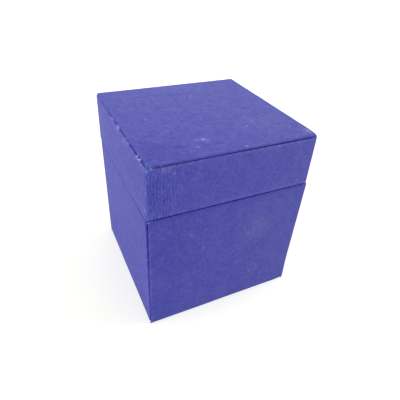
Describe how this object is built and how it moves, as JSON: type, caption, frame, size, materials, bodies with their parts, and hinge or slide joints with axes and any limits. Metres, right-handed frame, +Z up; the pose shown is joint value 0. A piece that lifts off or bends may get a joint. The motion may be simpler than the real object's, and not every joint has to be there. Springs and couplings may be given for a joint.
{
  "type": "cardboard box with lid",
  "caption": "Upright cloth-covered card box with a lift-off lid that sits flush on the base over an inner neck.",
  "frame": {"origin": "middle of the whole box's footprint, on the surface it stands on", "axes": "+Z up, -Y out of the front wall, +X to the right seen from the front; the open corner joint is at -X -Y"},
  "size_m": [0.1004, 0.098, 0.1146],
  "materials": {
    "cover_cloth": "board covered in matt blue linen-weave cloth, worn pale at the edges",
    "lining_paper": "board lined with plain matt blue paper"
  },
  "bodies": {
    "base": {"base_walls": "cover_cloth", "base_floor": "lining_paper", "neck": "lining_paper"},
    "lid": {"lid_walls": "cover_cloth", "lid_top": "cover_cloth"}
  },
  "joints": [
    {"name": "lid_lift", "type": "slide", "parent": "base", "child": "lid", "axis": [0, 0, 1], "range_m": [0, 0.04]}
  ]
}
